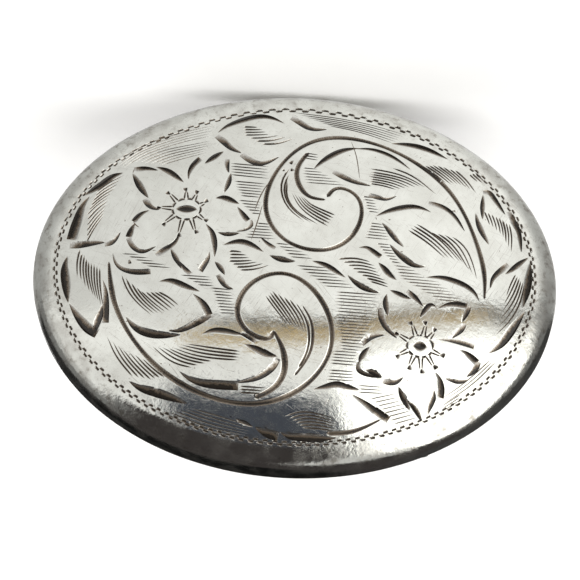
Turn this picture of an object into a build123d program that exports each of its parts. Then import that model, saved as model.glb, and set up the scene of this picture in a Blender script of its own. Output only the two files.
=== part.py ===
from build123d import *
import os
from math import cos, radians, sin

# Oval dress belt buckle: an engraved, domed silver face closed by a back plate that carries a
# swivel bail for the belt's fixed end and a hook peg for the holes in its free end.
#
# The buckle stands as it is worn. X runs along the belt, Z is up, the face looks towards -Y and the
# hardware on the back reaches towards +Y. The origin is the centre of the oval, level with the
# rim's edge and halfway between the top of the dome and the tip of the hook peg.
#
# Every piece is drawn in the face frame, whose x and y are the oval's length and height and whose
# z points out of the face. Behind the rim's edge z is negative. Sizes are in millimetres.
FACE = Plane.XZ

# Oval and dome.
half_length = 26.0
half_height = 20.0
border_inset = 2.1
border_height = 3.95
dome_rise = 2.0
edge_roll = 2.4
sheet = 0.8

# Back plate and the bearer wire that it is soldered down on.
solder_gap = 0.02
back_recess = 0.3
bearer_width = 1.0
bearer_height = 0.5
vent_radius = 0.75
vent_x = 6.0
vent_y = 13.5

# Hinge leaf, its knuckles and the pin.
hinge_x = -13.0
hinge_depth = 2.2
leaf_width = 6.6
leaf_corner = 1.6
knuckle_length = 4.0
knuckle_radius = 1.6
pin_radius = 0.8
pin_running_gap = 0.05
pin_head_radius = 1.45
pin_head_height = 0.5
washer_thickness = 0.3
peened_radius = 1.15
peened_height = 0.4

# Swivel bail, for a strap one inch wide.
strap_width = 25.4
strap_side_room = 0.25
wire_radius = 1.0
eye_width = 2.3
eye_radius = 1.6
side_play = 0.1
bail_reach = 14.0
bail_corner = 2.2

# Hook pad and peg. The peg leans towards the middle of the buckle, against the strap's pull.
hook_x = 15.5
pad_half_width = 3.4
pad_half_height = 5.4
peg_lean = 20.0
peg_radius = 1.5
peg_collar_radius = 2.1
peg_collar_height = 0.9

# Rivets.
rivet_radius = 0.6
rivet_head_radius = 1.1
rivet_head_height = 0.6
rivet_head_round = 0.4
upset_radius = 0.95
upset_height = 0.4
leaf_rivet_dx = 1.8
leaf_rivet_y = 4.5
hook_rivet_y = 3.7

# Levels along the face frame's z, worked out from the sizes above.
face_height = border_height + dome_rise
back_face = back_recess
back_inside = back_face + sheet
hardware_face = back_face - sheet

# Positions across the belt.
eye_inner = strap_width / 2 + strap_side_room
eye_outer = eye_inner + eye_width
arm_y = (eye_inner + eye_outer) / 2
knuckle_end = eye_inner - side_play
leaf_half_height = knuckle_end
washer_y = eye_outer + side_play
peened_y = washer_y + washer_thickness

leaf_rivet_places = [
    (hinge_x + side * leaf_rivet_dx, up * leaf_rivet_y) for side in (-1, 1) for up in (-1, 1)
]
hook_rivet_places = [(hook_x, up * hook_rivet_y) for up in (-1, 1)]


def oval(inset, base, height):
    """Prism on the buckle's oval, set in from its outline."""
    return Pos(0, 0, base) * extrude(Ellipse(half_length - inset, half_height - inset), height)


def domed_block(depth):
    """Solid under the face's surface, or under a surface that lies depth inside it all round."""
    border_x = half_length - border_inset
    border_y = half_height - border_inset
    dome_radius = (border_y**2 + dome_rise**2) / (2 * dome_rise)
    ball = scale(Rot(90, 0, 0) * Sphere(dome_radius), by=(border_x / border_y, 1, 1))
    block = oval(depth, 0, face_height) & Pos(0, 0, face_height - depth - dome_radius) * ball
    shoulder = block.edges().sort_by(Axis.Z)[-1]
    return fillet(shoulder, edge_roll - depth)


def post(x, y, base, radius, height):
    """Round post along the face frame's z."""
    return Pos(x, y, base + height / 2) * Cylinder(radius, height)


def rod(radius, start, end):
    """Round rod on the hinge axis, from one height to another."""
    return Pos(hinge_x, (start + end) / 2, -hinge_depth) * Rot(90, 0, 0) * Cylinder(radius, end - start)


def rivet_holes(places):
    """Cutters for the rivets' shanks."""
    length = back_inside - hardware_face
    return [post(x, y, hardware_face, rivet_radius + solder_gap, length) for x, y in places]


def rivet(x, y):
    """Rivet with a rounded head outside and an upset end inside the hollow face."""
    head = post(x, y, hardware_face - rivet_head_height, rivet_head_radius, rivet_head_height)
    head = fillet(head.edges().sort_by(Axis.Z)[0], rivet_head_round)
    shank = post(x, y, hardware_face, rivet_radius, back_inside - hardware_face)
    return head + shank + post(x, y, back_inside, upset_radius, upset_height)


def face_plate():
    """Domed sheet with its edge rolled down to the rim."""
    return domed_block(0) - domed_block(sheet)


def bearer_wire():
    """Flat wire soldered round inside the rim, a ledge for the back plate."""
    outside = oval(sheet + solder_gap, back_inside, bearer_height)
    return outside - oval(sheet + bearer_width, back_inside, bearer_height)


def back_plate():
    """Flat plate that closes the back, vented and drilled for the rivets."""
    vents = [post(vent_x, side * vent_y, back_face, vent_radius, sheet) for side in (-1, 1)]
    plate = oval(sheet + solder_gap, back_face, sheet)
    return plate - vents - rivet_holes(leaf_rivet_places + hook_rivet_places)


def hinge_leaf():
    """Flat leaf riveted to the back plate, under the knuckles."""
    outline = RectangleRounded(leaf_width, 2 * leaf_half_height, leaf_corner)
    leaf = Pos(hinge_x, 0, hardware_face) * extrude(outline, sheet)
    return leaf - rivet_holes(leaf_rivet_places)


def hinge_knuckle(start, end):
    """Round knuckle on a square foot, bored for the pin."""
    middle = (start + end) / 2
    foot_height = hinge_depth + hardware_face
    foot_box = Box(2 * knuckle_radius, end - start, foot_height)
    foot = Pos(hinge_x, middle, -hinge_depth + foot_height / 2) * foot_box
    return foot + rod(knuckle_radius, start, end) - rod(pin_radius + solder_gap, start, end)


def hinge_pin():
    """Pin with a head below and a peened end above."""
    head = rod(pin_head_radius, -washer_y - pin_head_height, -washer_y)
    peened = rod(peened_radius, peened_y, peened_y + peened_height)
    return rod(pin_radius, -washer_y, peened_y) + head + peened


def pin_washer():
    """Washer under the pin's peened end."""
    ring = rod(pin_head_radius, washer_y, peened_y)
    return ring - rod(pin_radius + solder_gap, washer_y, peened_y)


def bail():
    """Wire loop with an eye on each end: two arms and the bar that the strap folds round."""
    bar_x = hinge_x + bail_reach
    corners = [(hinge_x, arm_y), (bar_x, arm_y), (bar_x, -arm_y), (hinge_x, -arm_y)]
    path = Pos(0, 0, -hinge_depth) * FilletPolyline(*corners, radius=bail_corner)
    start = Plane(origin=path @ 0, z_dir=path % 0)
    loop = sweep(start * Circle(wire_radius), path=path)
    for side in (-1, 1):
        low, high = sorted((side * eye_inner, side * eye_outer))
        loop += rod(eye_radius, low, high)
    return loop - rod(pin_radius + pin_running_gap, -eye_outer, eye_outer)


def hook_pad():
    """Oval pad riveted to the back plate, under the hook peg."""
    pad = Pos(hook_x, 0, hardware_face) * extrude(Ellipse(pad_half_width, pad_half_height), sheet)
    return pad - rivet_holes(hook_rivet_places)


def hook_peg():
    """Leaning peg with a collar at its foot and a round tip level with the dome's height."""
    lean = radians(peg_lean)
    tip_center = (face_height - peg_radius + hardware_face) / cos(lean)
    foot = Plane(origin=(hook_x, 0, hardware_face), x_dir=(0, 1, 0), z_dir=(-sin(lean), 0, -cos(lean)))
    collar = Cylinder(peg_collar_radius, 2 * peg_collar_height)
    shaft = Pos(0, 0, tip_center / 2) * Cylinder(peg_radius, tip_center)
    peg = foot * (collar + shaft + Pos(0, 0, tip_center) * Sphere(peg_radius))
    reach = 2 * face_height
    behind_pad = Pos(hook_x, 0, hardware_face - reach / 2) * Box(reach, reach, reach)
    return peg & behind_pad


def write(node, *pieces):
    """Write one sub-part, turned from the face frame to the worn position."""
    solids = [solid for piece in pieces for solid in (FACE * piece).solids()]
    shape = solids[0] if len(solids) == 1 else Compound(children=solids)
    export_step(shape, os.path.join("parts", node + ".step"))


os.makedirs("parts", exist_ok=True)
write("face_plate", face_plate())
write("bearer_wire", bearer_wire())
write("back_plate", back_plate())
write("hinge_leaf", hinge_leaf())
write("leaf_rivets", *[rivet(x, y) for x, y in leaf_rivet_places])
write("hinge_knuckle_upper", hinge_knuckle(knuckle_end - knuckle_length, knuckle_end))
write("hinge_knuckle_lower", hinge_knuckle(-knuckle_end, knuckle_length - knuckle_end))
write("hinge_pin", hinge_pin())
write("pin_washer", pin_washer())
write("bail", bail())
write("hook_pad", hook_pad())
write("hook_peg", hook_peg())
write("hook_rivets", *[rivet(x, y) for x, y in hook_rivet_places])
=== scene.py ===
import math
import random

import bpy
import numpy as np
from mathutils import Matrix, Vector
from mathutils.geometry import delaunay_2d_cdt

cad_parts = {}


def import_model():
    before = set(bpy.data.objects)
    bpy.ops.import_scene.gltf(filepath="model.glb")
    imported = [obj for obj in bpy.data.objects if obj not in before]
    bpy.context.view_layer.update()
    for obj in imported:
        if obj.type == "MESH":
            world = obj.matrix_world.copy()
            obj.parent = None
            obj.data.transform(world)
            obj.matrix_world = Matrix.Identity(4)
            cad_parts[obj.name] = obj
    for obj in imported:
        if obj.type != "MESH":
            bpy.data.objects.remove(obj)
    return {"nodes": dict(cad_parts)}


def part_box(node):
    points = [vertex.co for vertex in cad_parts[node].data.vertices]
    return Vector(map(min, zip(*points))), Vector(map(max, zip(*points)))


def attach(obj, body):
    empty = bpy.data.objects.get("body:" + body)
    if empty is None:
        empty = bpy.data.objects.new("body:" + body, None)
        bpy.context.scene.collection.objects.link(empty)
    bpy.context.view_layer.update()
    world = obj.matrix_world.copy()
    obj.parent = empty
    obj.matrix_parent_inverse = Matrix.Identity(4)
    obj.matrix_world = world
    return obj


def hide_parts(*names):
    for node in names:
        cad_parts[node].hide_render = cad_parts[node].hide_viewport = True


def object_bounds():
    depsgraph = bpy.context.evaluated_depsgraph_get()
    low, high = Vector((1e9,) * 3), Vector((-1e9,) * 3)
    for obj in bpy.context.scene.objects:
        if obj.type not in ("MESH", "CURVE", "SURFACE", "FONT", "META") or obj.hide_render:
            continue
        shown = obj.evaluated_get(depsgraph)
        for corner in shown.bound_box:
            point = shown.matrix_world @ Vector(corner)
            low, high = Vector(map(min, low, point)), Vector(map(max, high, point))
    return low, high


# Looks for the oval engraved buckle. The face plate is rebuilt as a closed sheet with every graver's
# cut as real geometry; the hardware keeps its CAD shape and gets metal of its own.
#
# The ornament is drawn in millimetres on the face as it lies in the picture: u to the right, v up.
# The worn buckle is that picture after half a turn, so u is -X and v is -Z, and the face's height w
# is -Y. Sizes are millimetres, except in the materials and on the stage, which use metres.

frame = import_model()
cad_low, cad_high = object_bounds()
rng = random.Random(7)

MM = 0.001
face_low, face_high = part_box("face_plate")
HALF_LENGTH = face_high.x / MM
HALF_HEIGHT = face_high.z / MM
APEX = -face_low.y / MM

# The same dome, rolled edge and sheet as the CAD face plate.
SHEET = 0.8
BORDER_INSET = 2.1
DOME_RISE = 2.0
EDGE_ROLL = 2.4
BORDER_U = HALF_LENGTH - BORDER_INSET
BORDER_V = HALF_HEIGHT - BORDER_INSET
DOME_RADIUS = (BORDER_V**2 + DOME_RISE**2) / (2 * DOME_RISE)
STRETCH = BORDER_U / BORDER_V

# The wall ends above the rim, where a narrow arris flares inwards.
WALL_FOOT = 0.4
ARRIS = 0.08
RIM_FLARE = math.radians(13)

# The engraved plan's mesh reaches out over the rolled edge, to where the roll has this angle above its
# upright wall. Rings at shares of the way back to the dome, and one just past it, keep the mesh even.
PLAN_EDGE_ANGLE = math.radians(52)
PLAN_RINGS = (0.25, 0.5, 0.75, 1.0)
DOME_RING_GAP = 0.25

# Only points outside this share of the oval, squared, are looked up on the rolled edge.
NEAR_ROLL = 0.75

# Mesh density: steps round the rim, rows down the roll, rings inside, and the spacing of points on the
# cuts. Between them, rows of fill points cover the oval up to FILL_INSET from its outline.
RIM_STEPS = 288
ROLL_ROWS = 12
INSIDE_ROLL_ROWS = 4
INSIDE_RINGS = (0.8, 0.6, 0.4, 0.2, 0.05)
CUT_STEP = 0.25
SHORT_STEP = 0.1
SHADE_POINTS = 11
FILL_STEP = 0.9
FILL_ROW_SHARE = 0.87
FILL_ROWS = 40
FILL_INSET = 2.8
BORDER_SAMPLES = 4001

# A leaf's or petal's cut is bolder than its drawn width by this factor. It has a steep side and a
# gentle one, and its depth follows from the steep side's width.
PETAL_BOLDNESS = 1.5
LEAF_BOLDNESS = 1.4
STEEP_SHARE = 0.2
DEPTH_PER_STEEP = 1.35
SQUARE_END = 0.06

# A round line's depth follows from half its width. Shading lines start blunt.
LINE_DEPTH_PER_HALF = 0.58
SHADE_DEPTH_PER_HALF = 0.9
BLUNT_END = 0.2
LEAF_SHADE_WIDTH = 0.2
LEAF_SHADE_TONE = 0.95
GROUND_SHADE_WIDTH = 0.13
GROUND_SHADE_TONE = 0.58
GROUND_SHADE_LONGER = 0.18

# How fast a cut darkens from its edge towards its bottom, partly oxide and partly painted shade.
LINE_SPREAD = 5.0
CUT_SPREAD = 1.7

# The metal beside a cut is rubbed soft over SHOULDER, and its normal tilts towards the cut. A cut of
# FULL_SHOULDER_DEPTH or more has the whole tilt.
SHOULDER = 0.085
SHOULDER_TILT = 0.42
FULL_SHOULDER_DEPTH = 0.05

# Cut faces steeper than this are shaded flat right up to the cut's edge.
GENTLE_SLOPE = math.radians(32)
# A point past a cut's ends counts as this far from it.
FAR_AWAY = 1e3
# A triangle's darkness is read at its corners, pulled this far towards its middle.
CORNER_PULL = 0.25
# The spline's parameter grows with the distance between its points to this power.
SPLINE_TENSION = 0.8

# The ornament sits a little low on the oval.
ORNAMENT_SHIFT = (0.08, -0.58)

# The border line runs just inside the dome's foot and strays inwards at the upper left. Its graver
# takes longer paces along the top, and stops with less than LAST_PACE to go.
LINE_U = BORDER_U - 0.3
LINE_V = BORDER_V - 0.15
STRAY = 0.024
STRAY_MIDDLE = math.radians(122)
STRAY_REACH = math.radians(18)
PACE = 0.9
PACE_EXTRA = 0.45
LAST_PACE = 0.5
# One pace of the border's graver: (share of the pace, distance outwards), and its widths and depths.
OUTER_STEP = [(0.0, 0.02), (0.07, 0.13), (0.44, 0.14), (0.54, 0.1)]
INNER_STEP = [(0.5, -0.02), (0.57, -0.12), (0.9, -0.13), (1.0, -0.08)]
STEP_WIDTH = np.array([0.07, 0.13, 0.14, 0.08])
STEP_DEPTH = np.array([0.02, 0.1, 0.11, 0.02])
STEP_TONE = np.array([0.8, 1.0, 1.0, 0.8])


# --- The ornament ---
# A cut is (shape, width, points). The points follow its deepest line. A positive width puts the long
# shaded slope on the left of the line's direction and a negative width on the right.
#   sickle  pointed at both ends        flare  starts broad and shallow, runs out deep and pointed
#   chop    pointed start, square end   line   even width, short points at its ends
#   thread  thin scratched line         vein   thin deep line

FLOWER_LEFT = [
    ("flare", -0.4, [(-16.75, 10.7), (-15.8, 10.85), (-15.0, 10.75), (-14.3, 10.5)]),
    ("sickle", -0.42, [(-14.55, 10.9), (-13.4, 10.65), (-12.4, 10.0), (-11.6, 9.15)]),
    ("sickle", 0.46, [(-16.85, 10.1), (-16.5, 9.2), (-15.9, 8.2), (-15.0, 7.3)]),
    ("thread", 0.1, [(-16.7, 10.7), (-16.85, 10.1)]),
    ("flare", 0.45, [(-15.5, 7.1), (-15.1, 6.5), (-14.5, 6.1), (-13.8, 6.0)]),
    ("chop", 0.36, [(-14.8, 5.95), (-15.6, 5.65), (-16.1, 5.2), (-16.4, 4.75)]),
    ("thread", 0.14, [(-16.3, 4.7), (-16.0, 4.3), (-15.6, 4.0)]),
    ("chop", 0.42, [(-16.1, 4.5), (-16.55, 3.8), (-16.8, 3.0)]),
    ("flare", 0.4, [(-16.75, 2.8), (-16.4, 2.1), (-15.7, 1.45), (-15.0, 1.3), (-13.8, 2.0)]),
    ("flare", -0.42, [(-13.8, 1.15), (-12.9, 1.9), (-12.1, 2.5), (-11.6, 3.6)]),
    ("sickle", 0.36, [(-12.35, 1.8), (-12.0, 0.9), (-11.6, 0.3), (-11.1, -0.35)]),
    ("flare", 0.36, [(-10.1, -0.75), (-10.7, -0.2), (-11.4, 0.5)]),
    ("sickle", -0.4, [(-9.1, 4.6), (-8.3, 3.8), (-7.95, 2.9), (-7.85, 2.0), (-7.95, 1.0)]),
    ("chop", -0.4, [(-8.5, 1.6), (-8.45, 0.9), (-8.7, 0.2), (-9.1, -0.6)]),
    ("sickle", -0.42, [(-8.35, 7.45), (-7.6, 7.7), (-6.8, 7.5), (-5.9, 6.9)]),
    ("chop", -0.4, [(-6.1, 6.6), (-5.4, 5.9), (-4.8, 5.2)]),
    ("flare", -0.26, [(-4.6, 5.2), (-4.45, 4.6), (-5.0, 4.05), (-6.0, 3.85)]),
    ("sickle", 0.3, [(-7.85, 3.7), (-7.1, 3.4), (-6.3, 3.45), (-5.6, 3.7)]),
    ("chop", -0.38, [(-11.2, 9.5), (-11.25, 10.4), (-10.95, 11.3), (-10.3, 12.1)]),
    ("sickle", -0.4, [(-9.7, 11.4), (-9.2, 12.05), (-8.6, 12.55), (-7.9, 12.9)]),
    ("flare", -0.36, [(-7.35, 12.0), (-7.3, 11.2), (-7.2, 10.4)]),
    ("sickle", -0.36, [(-7.0, 10.4), (-6.95, 9.6), (-7.1, 8.9), (-7.5, 8.1)]),
]
FLOWER_RIGHT = [
    ("sickle", -0.34, [(9.35, -1.4), (10.2, -1.55), (10.9, -1.85), (11.5, -2.15)]),
    ("flare", -0.42, [(11.1, -1.25), (11.9, -1.8), (12.7, -2.8)]),
    ("sickle", 0.4, [(9.1, -1.8), (8.85, -2.5), (8.95, -3.3), (9.3, -4.1)]),
    ("flare", 0.46, [(8.4, -3.3), (8.5, -4.3), (9.1, -5.4), (10.3, -6.3)]),
    ("sickle", -0.36, [(12.4, -4.0), (12.75, -3.1), (13.4, -2.45), (14.0, -2.75)]),
    ("chop", -0.4, [(14.1, -2.9), (14.9, -2.35), (15.9, -2.1), (17.0, -2.2)]),
    ("flare", -0.4, [(17.3, -2.3), (17.1, -3.1), (16.55, -4.05)]),
    ("flare", -0.38, [(16.9, -4.2), (16.7, -4.8), (15.6, -5.8)]),
    ("chop", 0.34, [(14.3, -6.0), (15.4, -6.1), (16.6, -6.3), (17.8, -6.55)]),
    ("chop", -0.42, [(16.5, -6.85), (17.3, -7.1), (18.3, -7.8)]),
    ("flare", -0.46, [(18.45, -7.9), (18.1, -8.8), (17.2, -9.5)]),
    ("sickle", -0.3, [(17.4, -9.7), (16.6, -10.15), (15.9, -10.1), (15.1, -9.85)]),
    ("chop", -0.46, [(14.2, -9.3), (14.75, -10.0), (15.0, -10.9), (14.95, -11.8)]),
    ("sickle", -0.34, [(14.1, -11.0), (14.25, -11.7), (14.0, -12.6), (13.6, -13.5)]),
    ("sickle", 0.42, [(10.65, -11.0), (10.85, -11.8), (11.3, -12.6), (11.85, -13.25)]),
    ("sickle", 0.36, [(11.55, -12.3), (12.3, -13.2), (13.05, -14.2)]),
    ("flare", 0.4, [(7.0, -7.25), (7.7, -6.6), (8.4, -6.25), (9.1, -6.05)]),
    ("sickle", 0.36, [(7.7, -7.3), (7.1, -7.8), (6.75, -8.5), (6.7, -9.1)]),
    ("flare", 0.36, [(6.6, -8.9), (6.6, -9.7), (7.3, -10.15), (9.0, -10.3)]),
    ("sickle", 0.4, [(7.4, -9.6), (8.0, -9.95), (9.0, -10.3)]),
    ("flare", 0.44, [(9.1, -10.7), (9.9, -10.85), (10.5, -10.7), (11.1, -10.05)]),
]
SCROLL_TOP = [
    ("line", 0.46, [(18.65, -1.5), (18.6, 0.9), (17.6, 4.7), (15.0, 9.7), (12.2, 12.3), (8.5, 14.3),
        (4.3, 15.2), (1.9, 14.9), (-0.2, 13.75), (-2.8, 10.0), (-3.1, 5.8), (-0.4, 2.75),
        (3.5, 2.55), (5.9, 5.0), (5.6, 8.5), (3.6, 9.2), (2.7, 8.15)]),
    ("line", 0.5, [(2.6, 7.85), (1.0, 8.1), (-0.2, 9.5), (-0.4, 11.3), (0.6, 13.2)]),
    ("thread", 0.14, [(-2.9, 9.9), (-3.6, 8.6), (-4.1, 7.2), (-4.4, 6.0)]),
    ("thread", 0.13, [(-3.6, 7.0), (-4.0, 5.0), (-4.5, 2.9)]),
    ("thread", 0.11, [(4.75, 14.9), (5.3, 13.4), (5.6, 12.0), (5.85, 10.4)]),
]
SCROLL_BOTTOM = [
    ("line", 0.52, [(-18.35, 0.3), (-17.4, -4.0), (-13.8, -9.35), (-9.4, -12.4), (-4.0, -13.65),
        (-0.5, -12.9), (2.3, -10.9), (4.0, -7.2), (2.5, -2.6), (-1.2, -0.4), (-4.6, -2.1),
        (-5.2, -5.1), (-2.9, -7.15), (-1.9, -7.0), (-1.75, -6.3)]),
    ("line", 0.25, [(0.35, -3.45), (1.4, -5.1), (1.8, -6.8), (1.6, -8.4), (0.95, -9.8)]),
    ("line", 0.32, [(0.95, -3.6), (1.85, -5.1), (2.15, -6.8), (1.9, -8.4), (0.6, -10.65)]),
    ("line", 0.62, [(-1.7, -6.3), (-0.6, -8.4), (-0.5, -10.6), (-1.4, -12.0), (-3.1, -13.0)]),
]
# Black specks in the metal.
SPECKS = [
    ("chop", 0.36, [(-1.32, 11.9), (-0.95, 11.75)]),
    ("chop", 0.27, [(-1.06, 11.22), (-0.98, 10.88)]),
    ("chop", 0.2, [(-1.9, 10.85), (-1.65, 10.95)]),
    ("chop", 0.3, [(-16.4, 0.1), (-16.1, 0.25)]),
]
LEAVES_TOP = [
    # Leaf above the left flower, and the cut beside it.
    ("sickle", -0.46, [(-8.7, 15.1), (-7.9, 16.0), (-6.5, 16.85), (-5.2, 17.35), (-4.0, 17.45),
        (-3.0, 17.15), (-2.0, 16.55)]),
    ("flare", 0.56, [(-8.85, 14.6), (-8.0, 13.8), (-7.2, 13.15), (-6.1, 12.75)]),
    ("flare", 0.5, [(-6.2, 12.5), (-5.3, 11.8), (-4.2, 11.45), (-3.2, 11.8), (-2.3, 12.5)]),
    ("flare", 0.52, [(-1.45, 17.2), (-0.5, 16.55), (0.3, 16.05), (1.2, 15.9), (2.3, 16.1)]),
    # Leaf inside the top scroll.
    ("sickle", -0.44, [(1.2, 11.3), (1.9, 12.3), (3.0, 13.3), (4.2, 13.9), (5.6, 14.1)]),
    ("sickle", -0.3, [(5.1, 14.0), (6.8, 14.15), (8.3, 13.8), (9.6, 13.1), (10.9, 12.0)]),
    ("flare", 0.46, [(3.1, 11.0), (4.3, 10.35), (5.4, 9.95), (7.0, 9.75)]),
    ("flare", 0.38, [(6.8, 8.6), (7.6, 8.4), (8.6, 8.3), (9.6, 8.85)]),
    ("sickle", -0.44, [(8.8, 14.95), (10.2, 15.1), (11.8, 14.95), (13.2, 14.45), (14.6, 13.65)]),
    # Large leaf on the right.
    ("sickle", -0.42, [(7.6, 6.4), (8.6, 7.1), (9.8, 7.65), (11.2, 7.95), (12.2, 7.8), (13.1, 7.35)]),
    ("flare", -0.38, [(12.8, 8.5), (13.8, 8.35), (14.8, 7.9), (15.7, 7.0), (16.5, 5.6)]),
    ("thread", 0.12, [(7.6, 6.4), (7.75, 5.95)]),
    ("sickle", 0.4, [(8.25, 5.75), (8.9, 4.8), (9.6, 3.95), (10.5, 3.25)]),
    ("sickle", 0.46, [(9.1, 3.45), (9.8, 2.5), (10.6, 1.8), (11.5, 1.3), (12.8, 1.35)]),
    ("sickle", -0.42, [(12.8, 0.25), (14.3, 0.5), (15.5, 0.35), (16.8, -0.1), (17.7, -0.8), (18.2, -1.8)]),
    # Two leaves against the right border.
    ("sickle", 0.34, [(18.2, 9.95), (18.05, 9.0), (18.05, 8.0), (18.2, 7.1)]),
    ("flare", -0.42, [(18.15, 10.35), (18.8, 10.4), (19.4, 9.8), (19.9, 9.0), (20.5, 7.95)]),
    ("flare", -0.46, [(20.9, 8.4), (21.4, 7.5), (21.9, 6.5), (22.15, 5.3), (22.2, 4.0)]),
    ("sickle", 0.42, [(17.5, 7.75), (17.6, 6.8), (18.0, 5.7), (18.9, 4.4)]),
    ("flare", 0.46, [(20.8, 2.6), (19.8, 1.6), (19.3, 0.8), (19.15, -0.3)]),
    ("sickle", -0.4, [(20.6, 1.4), (21.3, 2.2), (22.0, 2.9), (22.9, 3.5)]),
    ("sickle", -0.56, [(23.1, 3.0), (23.2, 1.5), (23.05, 0.0), (22.85, -0.8), (22.45, -1.9)]),
    ("sickle", -0.58, [(22.7, -2.2), (22.2, -3.4), (21.4, -4.9), (20.4, -6.2), (19.2, -6.95)]),
]
LEAVES_BOTTOM = [
    # Leaf beside the left flower, under the stem's first cut.
    ("chop", 0.42, [(-18.05, 1.2), (-17.7, 0.1), (-17.1, -0.5), (-16.2, -0.85), (-15.2, -0.95),
        (-14.1, -0.85)]),
    ("sickle", -0.46, [(-13.2, -1.7), (-12.1, -1.45), (-11.0, -1.75), (-10.0, -2.2), (-9.1, -2.65)]),
    ("chop", -0.52, [(-9.8, -2.9), (-9.0, -3.4), (-8.3, -4.1), (-7.85, -4.95)]),
    ("flare", -0.54, [(-7.8, -5.1), (-8.7, -5.75), (-9.7, -6.35), (-10.8, -6.8), (-11.9, -6.75)]),
    ("sickle", 0.6, [(-16.2, -5.4), (-15.4, -6.5), (-14.3, -7.15), (-13.0, -7.4), (-11.8, -7.35),
        (-10.7, -7.15)]),
    # Leaf inside the bottom scroll.
    ("sickle", -0.42, [(-8.6, -6.95), (-7.7, -6.45), (-6.8, -6.35), (-5.8, -6.5), (-4.5, -6.9)]),
    ("flare", -0.4, [(-3.4, -7.6), (-4.1, -7.2), (-5.0, -6.8)]),
    ("sickle", -0.5, [(-4.4, -7.8), (-3.2, -8.05), (-2.2, -8.5), (-1.2, -8.9)]),
    ("flare", -0.52, [(-0.95, -9.1), (-1.3, -9.9), (-2.2, -10.8), (-3.3, -11.35), (-4.9, -11.65)]),
    ("chop", 0.62, [(-10.6, -10.7), (-9.6, -11.5), (-8.3, -12.0), (-6.5, -12.2), (-4.75, -12.2)]),
    ("sickle", 0.62, [(-15.4, -11.8), (-14.3, -12.6), (-13.0, -13.05), (-11.5, -13.45), (-9.6, -13.85)]),
    # Leaf at the bottom, and the cut beside it.
    ("sickle", -0.46, [(2.5, -11.85), (3.8, -11.3), (4.8, -11.05), (5.8, -11.3), (6.9, -11.65)]),
    ("chop", -0.5, [(6.2, -12.1), (7.6, -12.75), (8.7, -13.4), (9.95, -14.15)]),
    ("line", 0.44, [(9.1, -14.3), (7.8, -15.05), (6.4, -15.65), (4.9, -15.95), (4.0, -16.0)]),
    ("sickle", -0.56, [(5.0, -16.35), (3.5, -16.7), (1.7, -16.75), (0.3, -16.6), (-0.5, -16.1)]),
    ("sickle", -0.3, [(-4.8, -15.15), (-3.9, -15.3), (-3.1, -15.8)]),
    ("chop", 0.6, [(-2.9, -15.8), (-1.9, -16.5), (-0.7, -16.85)]),
    # Leaves against the left border.
    ("sickle", 0.56, [(-17.8, 10.2), (-18.9, 9.9), (-19.9, 9.1), (-20.8, 8.3), (-21.5, 7.6)]),
    ("chop", 0.72, [(-20.95, 7.5), (-21.7, 6.4), (-22.1, 5.2), (-22.4, 3.9), (-22.6, 2.7)]),
    ("flare", 0.6, [(-22.4, 1.85), (-21.3, 1.9), (-20.2, 2.1), (-18.9, 2.35)]),
    ("flare", 0.4, [(-18.9, 2.0), (-18.2, 2.2), (-17.75, 2.7), (-17.45, 3.5)]),
    ("sickle", 0.64, [(-22.55, 0.9), (-22.9, -0.4), (-22.7, -2.0), (-22.35, -3.2), (-22.0, -4.05)]),
    ("chop", 0.72, [(-21.9, -4.1), (-21.3, -5.2), (-20.6, -6.2), (-19.9, -6.9), (-19.0, -7.4)]),
    ("sickle", -0.52, [(-18.6, -4.2), (-18.55, -5.2), (-18.8, -6.2), (-19.15, -7.3)]),
    ("chop", -0.52, [(-18.8, -1.6), (-18.35, -2.6), (-18.1, -3.8), (-18.0, -5.0), (-17.95, -6.05)]),
    # Small leaves in the middle.
    ("sickle", -0.44, [(-7.2, 2.35), (-6.4, 2.75), (-5.5, 2.95), (-4.5, 2.7), (-3.7, 2.2), (-3.15, 1.75)]),
    ("flare", 0.32, [(-2.0, 2.3), (-2.8, 2.8), (-3.6, 3.4)]),
    ("sickle", 0.42, [(-2.6, 1.45), (-1.9, 1.05), (-1.0, 0.85), (0.0, 0.9)]),
    ("sickle", 0.38, [(-7.9, 0.55), (-7.4, -0.2), (-6.8, -0.85)]),
    ("flare", 0.44, [(-7.6, -0.9), (-7.1, -1.7), (-6.6, -2.15), (-5.85, -2.3)]),
    ("sickle", -0.4, [(1.6, 1.1), (2.8, 0.95), (3.9, 0.4), (5.0, -0.45)]),
    ("sickle", 0.42, [(5.15, -0.2), (5.9, -1.0), (6.8, -1.55), (7.6, -1.75), (8.4, -1.8)]),
    ("chop", -0.38, [(6.1, 2.85), (6.9, 3.0), (7.6, 2.7), (8.4, 2.15)]),
    ("sickle", -0.44, [(8.1, 1.4), (8.8, 0.95), (9.4, 0.3), (9.95, -0.3)]),
]

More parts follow.
